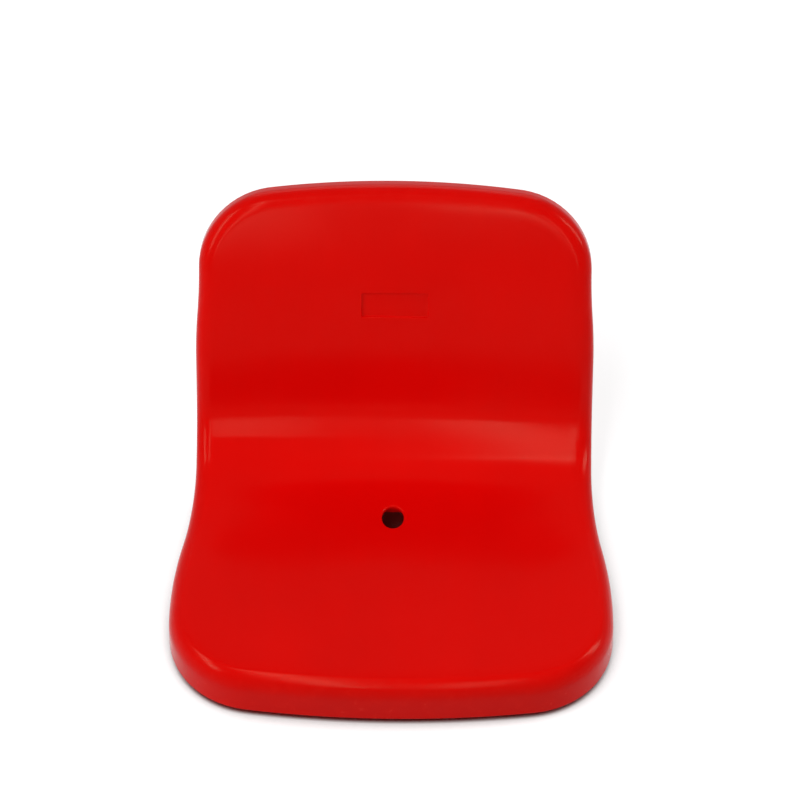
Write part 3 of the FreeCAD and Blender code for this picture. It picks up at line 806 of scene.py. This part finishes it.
def ownPlace(tree, stretch=(1.0, 1.0, 1.0)):  # the object's own metres, stretched
    spots = addNode(tree, "ShaderNodeTexCoord")
    mapping = addNode(tree, "ShaderNodeMapping")
    mapping.inputs["Scale"].default_value = stretch
    tree.links.new(spots.outputs["Object"], mapping.inputs["Vector"])
    return mapping.outputs["Vector"]


def cloud(tree, spots, scale, detail=2.0, rough=0.5):  # soft noise
    node = addNode(tree, "ShaderNodeTexNoise", Scale=scale, Detail=detail, Roughness=rough)
    tree.links.new(spots, node.inputs["Vector"])
    return node.outputs["Fac"]


def bumps(tree, shader, layers):  # layers of (height, strength, distance), from coarse to fine
    normal = None
    for height, strength, distance in layers:
        node = addNode(tree, "ShaderNodeBump", Strength=strength, Distance=distance)
        tree.links.new(height, node.inputs["Height"])
        if normal is not None:
            tree.links.new(normal, node.inputs["Normal"])
        normal = node.outputs["Normal"]
    tree.links.new(normal, shader.inputs["Normal"])


plastic = {  # a noise is (scale, detail, roughness), a bump is (strength, distance)
    "red": (0.600, 0.0006, 0.0003, 1.0),
    "deepRed": (0.560, 0.0004, 0.0002, 1.0),
    "pigmentNoise": (7.0, 3.0),
    "pigmentShare": 0.7,
    "flowStretch": (9.0, 1.6, 1.6),  # lines of flow from the mould
    "flowNoise": (2.4, 4.0, 0.6),
    "flowShare": 0.3,
    "toneSpan": (0.35, 0.65),
    "scuffed": (0.66, 0.010, 0.006, 1.0),
    "scuffNoise": (85.0, 5.0, 0.65),
    "scuffSpan": (0.50, 0.68),
    "scuffMost": 0.45,
    "scuffRoughness": 0.20,
    "hairStretch": (260.0, 9.0, 14.0),
    "hairNoise": (1.0, 2.0),
    "hairSpan": (0.70, 0.76),
    "hairRoughness": 0.06,
    "roughness": (0.15, 0.19),
    "glossNoise": (24.0, 3.0),
    "glossSpan": (0.3, 0.7),
    "specular": 0.06,
    "shineTint": (1.0, 0.92, 0.62, 1.0),  # pale highlights of a warm colour
    "sagNoise": (11.0, 1.0),
    "grainNoise": (1100.0, 2.0),
    "sagBump": (0.25, 0.0012),
    "hairBump": (0.05, 0.0001),
    "grainBump": (0.03, 0.0002),
}


def redPlastic():
    material, tree, shader = newMaterial("mouldedRedPlastic")
    spots = ownPlace(tree)
    pigment = cloud(tree, spots, *plastic["pigmentNoise"])
    flow = cloud(tree, ownPlace(tree, plastic["flowStretch"]), *plastic["flowNoise"])
    tone = total(tree, pigment, plastic["pigmentShare"], flow, plastic["flowShare"])
    colour = blend(tree, spread(tree, tone, plastic["toneSpan"]), plastic["deepRed"],
                   plastic["red"])

    worn = addNode(tree, "ShaderNodeAttribute", attribute_name="wear")  # 1 on the rim's edges
    rubbed = spread(tree, cloud(tree, spots, *plastic["scuffNoise"]), plastic["scuffSpan"])
    scuff = work(tree, "MULTIPLY", worn.outputs["Fac"], rubbed)
    hairs = cloud(tree, ownPlace(tree, plastic["hairStretch"]), *plastic["hairNoise"])
    scratch = spread(tree, hairs, plastic["hairSpan"])
    pale = work(tree, "MULTIPLY", scuff, plastic["scuffMost"])
    tree.links.new(blend(tree, pale, colour, plastic["scuffed"]), shader.inputs["Base Color"])

    gloss = spread(tree, cloud(tree, spots, *plastic["glossNoise"]), plastic["glossSpan"],
                   plastic["roughness"])
    gloss = work(tree, "ADD", gloss, work(tree, "MULTIPLY", scuff, plastic["scuffRoughness"]))
    gloss = work(tree, "ADD", gloss, work(tree, "MULTIPLY", scratch, plastic["hairRoughness"]))
    tree.links.new(gloss, shader.inputs["Roughness"])
    shader.inputs["Specular IOR Level"].default_value = plastic["specular"]
    shader.inputs["Specular Tint"].default_value = plastic["shineTint"]

    sag = cloud(tree, spots, *plastic["sagNoise"])
    grain = cloud(tree, spots, *plastic["grainNoise"])
    bumps(tree, shader, [(sag, *plastic["sagBump"]), (scratch, *plastic["hairBump"]),
                         (grain, *plastic["grainBump"])])
    return material


seat.data.materials.append(redPlastic())


def coordinates(tree):
    spots = addNode(tree, "ShaderNodeTexCoord")
    parts = addNode(tree, "ShaderNodeSeparateXYZ")
    tree.links.new(spots.outputs["Object"], parts.inputs[0])
    return parts.outputs["X"], parts.outputs["Y"], parts.outputs["Z"]


def radiusOf(tree, x, y):
    return work(tree, "SQRT", total(tree, x, x, y, y))


def aroundAxis(tree, across, along):  # radius, angle and height about a point's own fastener
    x, y, z = coordinates(tree)
    x = work(tree, "SUBTRACT", work(tree, "ABSOLUTE", x), across)
    y = work(tree, "SUBTRACT", work(tree, "ABSOLUTE", y), along)
    return radiusOf(tree, x, y), work(tree, "ARCTAN2", y, x), z


def thread(tree, radius, height, pitch, reach):  # turns of a thread inside a radius
    turns = work(tree, "SINE", work(tree, "MULTIPLY", height, 2 * math.pi / pitch))
    return work(tree, "MULTIPLY", turns, work(tree, "LESS_THAN", radius, reach))


galvanised = {
    "dull": (0.40, 0.42, 0.44, 1.0),
    "bright": (0.62, 0.65, 0.68, 1.0),
    "chalk": (0.70, 0.71, 0.70, 1.0),
    "flakeScale": 85.0,
    "flakeShare": 0.65,
    "speckNoise": (400.0, 3.0),
    "speckShare": 0.35,
    "toneSpan": (0.1, 0.9),
    "bloomNoise": (32.0, 6.0, 0.65),  # chalky patches
    "bloomSpan": (0.56, 0.72),
    "bloomMost": 0.6,
    "bloomRoughness": 0.3,
    "roughness": (0.34, 0.52),
    "waveNoise": (60.0, 2.0),
    "gritNoise": (900.0, 3.0),
    "waveBump": (0.2, 0.0004),
    "flakeBump": (0.05, 0.0001),
    "gritBump": (0.12, 0.0002),
}


def galvanisedSteel():
    material, tree, shader = newMaterial("galvanisedSteel")
    spots = ownPlace(tree)
    flakes = addNode(tree, "ShaderNodeTexVoronoi", Scale=galvanised["flakeScale"])
    tree.links.new(spots, flakes.inputs["Vector"])
    shades = addNode(tree, "ShaderNodeSeparateColor")
    tree.links.new(flakes.outputs["Color"], shades.inputs[0])
    flake, flakeGloss = shades.outputs[0], shades.outputs[1]
    speck = cloud(tree, spots, *galvanised["speckNoise"])
    tone = total(tree, flake, galvanised["flakeShare"], speck, galvanised["speckShare"])
    colour = blend(tree, spread(tree, tone, galvanised["toneSpan"]), galvanised["dull"],
                   galvanised["bright"])
    bloom = spread(tree, cloud(tree, spots, *galvanised["bloomNoise"]), galvanised["bloomSpan"],
                   (0.0, galvanised["bloomMost"]))
    tree.links.new(blend(tree, bloom, colour, galvanised["chalk"]), shader.inputs["Base Color"])
    shader.inputs["Metallic"].default_value = 1.0
    gloss = work(tree, "ADD", spread(tree, flakeGloss, (0.0, 1.0), galvanised["roughness"]),
                 work(tree, "MULTIPLY", bloom, galvanised["bloomRoughness"]))
    tree.links.new(gloss, shader.inputs["Roughness"])
    wave = cloud(tree, spots, *galvanised["waveNoise"])
    grit = cloud(tree, spots, *galvanised["gritNoise"])
    bumps(tree, shader, [(wave, *galvanised["waveBump"]), (flake, *galvanised["flakeBump"]),
                         (grit, *galvanised["gritBump"])])
    return material


boltThread = {"axis": (0.120, 0.065), "pitch": 0.00125, "reach": 0.0042}  # metres
nutThread = {"axis": (0.120, 0.115), "pitch": 0.0015, "reach": 0.0050}

plated = {
    "silver": (0.66, 0.67, 0.68, 1.0),
    "straw": (0.68, 0.64, 0.54, 1.0),
    "tintNoise": (120.0, 3.0),
    "tintSpan": (0.35, 0.65),
    "tintMost": 0.7,
    "tarnish": (0.38, 0.38, 0.37, 1.0),
    "stainNoise": (260.0, 6.0, 0.7),
    "stainSpan": (0.58, 0.70),
    "stainMost": 0.5,
    "stainRoughness": 0.3,
    "roughness": (0.20, 0.34),
    "glossNoise": (300.0, 3.0),
    "glossSpan": (0.3, 0.7),
    "grainNoise": (1800.0, 2.0),
    "threadBump": (0.9, 0.0005),
    "grainBump": (0.10, 0.0001),
}


def platedSteel(name, screw):
    material, tree, shader = newMaterial(name)
    spots = ownPlace(tree)
    tint = spread(tree, cloud(tree, spots, *plated["tintNoise"]), plated["tintSpan"],
                  (0.0, plated["tintMost"]))
    colour = blend(tree, tint, plated["silver"], plated["straw"])
    stain = spread(tree, cloud(tree, spots, *plated["stainNoise"]), plated["stainSpan"],
                   (0.0, plated["stainMost"]))
    tree.links.new(blend(tree, stain, colour, plated["tarnish"]), shader.inputs["Base Color"])
    shader.inputs["Metallic"].default_value = 1.0
    gloss = spread(tree, cloud(tree, spots, *plated["glossNoise"]), plated["glossSpan"],
                   plated["roughness"])
    gloss = work(tree, "ADD", gloss, work(tree, "MULTIPLY", stain, plated["stainRoughness"]))
    tree.links.new(gloss, shader.inputs["Roughness"])
    radius, _, height = aroundAxis(tree, *screw["axis"])
    turns = thread(tree, radius, height, screw["pitch"], screw["reach"])
    grain = cloud(tree, spots, *plated["grainNoise"])
    bumps(tree, shader, [(turns, *plated["threadBump"]), (grain, *plated["grainBump"])])
    return material


brass = {
    "bright": (0.78, 0.55, 0.22, 1.0),
    "brown": (0.46, 0.29, 0.11, 1.0),
    "tarnishNoise": (220.0, 5.0, 0.65),
    "tarnishSpan": (0.45, 0.70),
    "tarnishMost": 0.8,
    "roughness": (0.24, 0.40),
    "ridges": 44,
    "ridgesFrom": 0.0052,  # the knurling is outside this radius, the thread inside the next
    "threadReach": 0.0045,
    "grainNoise": (1600.0, 2.0),
    "ridgeBump": (0.8, 0.0004),
    "threadBump": (0.8, 0.0004),
    "grainBump": (0.10, 0.0001),
}


def knurledBrass():
    material, tree, shader = newMaterial("knurledBrass")
    spots = ownPlace(tree)
    most = (0.0, brass["tarnishMost"])
    tarnish = spread(tree, cloud(tree, spots, *brass["tarnishNoise"]), brass["tarnishSpan"], most)
    colour = blend(tree, tarnish, brass["bright"], brass["brown"])
    tree.links.new(colour, shader.inputs["Base Color"])
    shader.inputs["Metallic"].default_value = 1.0
    gloss = spread(tree, tarnish, most, brass["roughness"])
    tree.links.new(gloss, shader.inputs["Roughness"])
    radius, angle, height = aroundAxis(tree, *boltThread["axis"])
    ridge = work(tree, "SINE", work(tree, "MULTIPLY", angle, brass["ridges"]))
    ridge = work(tree, "MULTIPLY", ridge, work(tree, "GREATER_THAN", radius, brass["ridgesFrom"]))
    turns = thread(tree, radius, height, boltThread["pitch"], brass["threadReach"])
    grain = cloud(tree, spots, *brass["grainNoise"])
    bumps(tree, shader, [(ridge, *brass["ridgeBump"]), (turns, *brass["threadBump"]),
                         (grain, *brass["grainBump"])])
    return material


spangled = galvanisedSteel()
boltFinish = platedSteel("platedBolt", boltThread)
nutFinish = platedSteel("platedNut", nutThread)
finishes = {
    "left_bar": spangled,
    "right_bar": spangled,
    "thread_inserts": knurledBrass(),
    "flat_washers": boltFinish,
    "spring_washers": boltFinish,
    "seat_bolts": boltFinish,
    "weld_nuts": nutFinish,
}
steelEdges = {  # rounding in millimetres
    "left_bar": 0.5,
    "right_bar": 0.5,
    "flat_washers": 0.15,
    "spring_washers": 0.2,
    "seat_bolts": 0.25,
    "weld_nuts": 0.35,
}
edgeSegments = 2
edgeAngle = 50  # degrees: flatter edges stay as they are
for name, finish in finishes.items():
    piece = nodes[name]
    piece.data.materials.clear()
    piece.data.materials.append(finish)
    if name in steelEdges:
        rounding = piece.modifiers.new("edges", "BEVEL")
        rounding.width = steelEdges[name] * millimetre
        rounding.segments = edgeSegments
        rounding.limit_method = "ANGLE"
        rounding.angle_limit = math.radians(edgeAngle)
        rounding.harden_normals = True
print("finishes made:", len(bpy.data.materials))


# Studio: floor, light and camera

studio = {
    "floorHalf": 40.0,
    "floorGrey": 0.42,
    "floorRoughness": 0.9,
    "floorGlow": 0.70,
    "glowSpan": (1.4, 5.0),  # over these metres the glow grows to 1, as the lamps fade
    "paintedShadeUnderSeat": (0.18, 0.012, 0.010, 1.0),  # painted shade under the seat, reddened as painted bounce light from the shell
    "shadeReach": 0.30,  # how far the painted shade under the seat spreads
    "shadeSpan": (0.32, 0.66),
    "shadeSamples": 16,
    "worldLevel": 0.22,
}

softboxes = {  # aim is azimuth from the front and elevation, size is across and along
    "leftBox": {"aim": (-12.6, 46.0), "away": 3.05, "size": (0.28, 4.3), "lean": -12.8,
                "level": 9.0},
    "rightBox": {"aim": (9.0, 26.0), "away": 3.05, "size": (0.34, 2.0), "lean": 5.5,
                 "level": 5.0},
    "leftSide": {"aim": (-68.0, 36.0), "away": 3.05, "size": (0.60, 2.9), "lean": -45.0,
                 "level": 10.0},
    "rightSide": {"aim": (95.0, 28.0), "away": 3.05, "size": (0.80, 1.9), "lean": 5.0,
                  "level": 9.0},
    "overhead": {"aim": (-60.0, 76.0), "away": 3.1, "size": (0.70, 0.70), "lean": 0.0,
                 "level": 5.0},
    "backFill": {"aim": (180.0, 28.0), "away": 3.2, "size": (2.60, 1.40), "lean": 0.0,
                 "level": 1.6},
}
lampTarget = Vector((0.0, 0.05, 0.12))

floorMesh = bpy.data.meshes.new("floor")
span = studio["floorHalf"]
floorCorners = [(-span, -span, 0), (span, -span, 0), (span, span, 0), (-span, span, 0)]
floorMesh.from_pydata(floorCorners, [], [(0, 1, 2, 3)])
floor = bpy.data.objects.new("floor", floorMesh)
bpy.context.scene.collection.objects.link(floor)


def seenDirectly(tree):  # 1 where the eye, a reflection or glass looks at it
    ray = addNode(tree, "ShaderNodeLightPath")
    looked = work(tree, "MAXIMUM", ray.outputs["Is Camera Ray"], ray.outputs["Is Glossy Ray"])
    return work(tree, "MAXIMUM", looked, ray.outputs["Is Transmission Ray"])


def paleFloor():  # a grey that throws light back, topped up to white where it is looked at; near and under the seat its colour and glow are painted darker by ambient occlusion, as painted shade
    material, tree, shader = newMaterial("paleFloor")
    grey = studio["floorGrey"]
    shader.inputs["Roughness"].default_value = studio["floorRoughness"]
    shader.inputs["Specular IOR Level"].default_value = 0.0
    shade = addNode(tree, "ShaderNodeAmbientOcclusion", samples=studio["shadeSamples"],
                    Distance=studio["shadeReach"])
    # painted shade: 0 where the seat hides the floor, 1 in the open
    clearOfPaintedShade = spread(tree, shade.outputs["AO"], studio["shadeSpan"])
    colour = blend(tree, clearOfPaintedShade, studio["paintedShadeUnderSeat"], (grey, grey, grey, 1))
    tree.links.new(colour, shader.inputs["Base Color"])
    x, y, _ = coordinates(tree)
    glowing = spread(tree, radiusOf(tree, x, y), studio["glowSpan"], (studio["floorGlow"], 1.0))
    # the white glow is left out in the painted shade under the seat
    clear = work(tree, "MULTIPLY", clearOfPaintedShade, glowing)
    glow = addNode(tree, "ShaderNodeEmission")
    tree.links.new(work(tree, "MULTIPLY", clear, seenDirectly(tree)), glow.inputs["Strength"])
    both = addNode(tree, "ShaderNodeAddShader")
    tree.links.new(shader.outputs[0], both.inputs[0])
    tree.links.new(glow.outputs[0], both.inputs[1])
    tree.links.new(both.outputs[0], tree.nodes["Material Output"].inputs["Surface"])
    return material


floorMesh.materials.append(paleFloor())

world = bpy.data.worlds.new("studio")
bpy.context.scene.world = world
world.use_nodes = True
background = world.node_tree.nodes["Background"]
background.inputs["Color"].default_value = (1, 1, 1, 1)
skyLevel = spread(world.node_tree, seenDirectly(world.node_tree), (0.0, 1.0),
                  (studio["worldLevel"], 1.0))
world.node_tree.links.new(skyLevel, background.inputs["Strength"])


def outwards(azimuth, elevation):  # in degrees, azimuth from the front towards +X
    around, above = math.radians(azimuth), math.radians(elevation)
    return Vector((math.sin(around) * math.cos(above), -math.cos(around) * math.cos(above),
                   math.sin(above)))


def facingInwards(direction, roll):
    upright = direction.to_track_quat("Z", "Y")
    return (upright @ Quaternion((0, 0, 1), math.radians(roll))).to_euler()


for name, values in softboxes.items():
    lamp = bpy.data.lights.new(name, "AREA")
    lamp.shape = "RECTANGLE"
    lamp.size, lamp.size_y = values["size"]
    lamp.energy = values["level"] * math.pi * lamp.size * lamp.size_y  # level is its brightness
    direction = outwards(*values["aim"])
    lampObject = bpy.data.objects.new(name, lamp)
    lampObject.location = lampTarget + direction * values["away"]
    lampObject.rotation_euler = facingInwards(direction, -values["lean"])
    lampObject.visible_camera = False
    bpy.context.scene.collection.objects.link(lampObject)

view = {
    "azimuth": 0.653,
    "elevation": 49.21,
    "roll": 0.137,
    "distance": 5.0,
    "aim": (0.00748, -0.02122, 0.30091),
    "focalPixels": 5349.35,
    "frameWidth": 800,
    "sensor": 36,
}
camera = bpy.data.cameras.new("camera")
camera.lens = view["focalPixels"] / view["frameWidth"] * view["sensor"]
camera.sensor_width = view["sensor"]
cameraObject = bpy.data.objects.new("camera", camera)
direction = outwards(view["azimuth"], view["elevation"])
cameraObject.location = Vector(view["aim"]) + direction * view["distance"]
cameraObject.rotation_euler = facingInwards(direction, view["roll"])
bpy.context.scene.collection.objects.link(cameraObject)
bpy.context.scene.camera = cameraObject
bpy.context.scene.view_settings.view_transform = "Standard"
print("studio ready")
